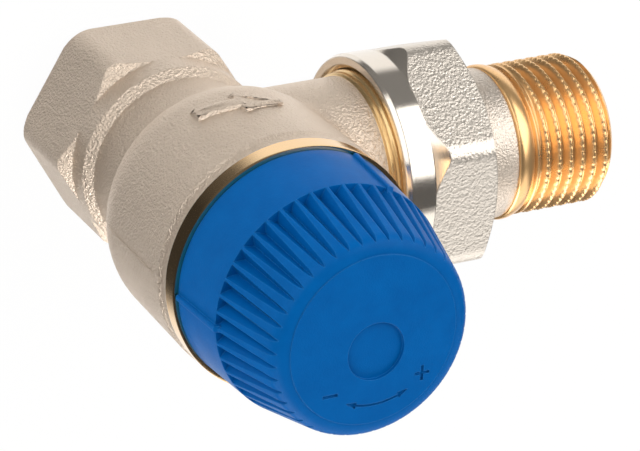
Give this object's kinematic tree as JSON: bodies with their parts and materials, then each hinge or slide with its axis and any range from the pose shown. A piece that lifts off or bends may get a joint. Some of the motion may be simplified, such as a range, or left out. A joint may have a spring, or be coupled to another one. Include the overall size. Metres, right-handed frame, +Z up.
{
  "type": "thermostatic radiator valve",
  "caption": "Angle radiator valve: nickel-plated body with a hexagon inlet, blue protective cap, union nut and tailpiece, and an insert with a sprung stem.",
  "frame": {"origin": "centre of the inlet hexagon's end face, on the stem's axis", "axes": "+Z up the stem towards the cap, +X along the outlet towards the radiator"},
  "size_m": [0.074, 0.0346, 0.0742],
  "materials": {
    "nickel_forging": "satin",
    "nickel_nut": "satin",
    "brass": "turned",
    "brass_tail": "turned",
    "blue_plastic": "satin",
    "black_plastic": "satin",
    "white_plastic": "satin",
    "seal_rubber": "matt",
    "stainless": "turned",
    "spring_steel": "drawn"
  },
  "bodies": {
    "body": {"valve_body": "nickel_forging", "bonnet": "brass", "bonnet_o_ring": "seal_rubber", "cartridge_body": "black_plastic", "cartridge_o_ring": "seal_rubber", "regulator_spring": "spring_steel", "regulator_diaphragm": "seal_rubber"},
    "spindle": {"stem": "stainless", "stem_clip": "stainless", "spring_cup": "brass", "pressure_pin": "stainless", "valve_disc": "brass", "disc_seal": "seal_rubber", "disc_screw": "stainless"},
    "cap": {"protective_cap": "blue_plastic"},
    "presetting": {"spindle_housing": "brass", "throttle_sleeve": "black_plastic", "presetting_ring": "white_plastic", "gland_nut": "brass", "gland_o_ring": "seal_rubber", "housing_o_ring": "seal_rubber", "return_spring": "spring_steel"},
    "regulator": {"regulator_sleeve": "black_plastic", "diaphragm_clamp": "stainless"},
    "tail": {"tailpiece": "brass_tail", "tail_o_ring": "seal_rubber"},
    "nut": {"union_nut": "nickel_nut"}
  },
  "joints": [
    {"name": "stem_lift", "type": "slide", "parent": "body", "child": "spindle", "axis": [0, 0, 1], "range_m": [0, 0.0025], "deforming": ["return_spring"]},
    {"name": "cap_turn", "type": "hinge", "parent": "spindle", "child": "cap", "pos_m": [0, 0, 0.0529], "axis": [0, 0, 1], "range_deg": [0, 600]},
    {"name": "presetting_turn", "type": "hinge", "parent": "body", "child": "presetting", "pos_m": [0, 0, 0.0618], "axis": [0, 0, 1], "range_deg": [0, 315]},
    {"name": "regulator_slide", "type": "slide", "parent": "body", "child": "regulator", "axis": [0, 0, 1], "range_m": [-0.0024, 0], "stiffness_N_per_m": 1500, "springref_m": 0.001, "deforming": ["regulator_spring", "regulator_diaphragm"]},
    {"name": "tail_slide", "type": "slide", "parent": "body", "child": "tail", "axis": [1, 0, 0], "range_m": [0, 0.00907]},
    {"name": "nut_turn", "type": "hinge", "parent": "tail", "child": "nut", "pos_m": [0.0217, 0, 0.0277], "axis": [1, 0, 0], "range_deg": [0, 1800]}
  ],
  "couplings": [
    {"joint": "cap_turn", "follows": "stem_lift", "rad_per_m": 4188.7},
    {"joint": "nut_turn", "follows": "tail_slide", "rad_per_m": 3463.6}
  ]
}
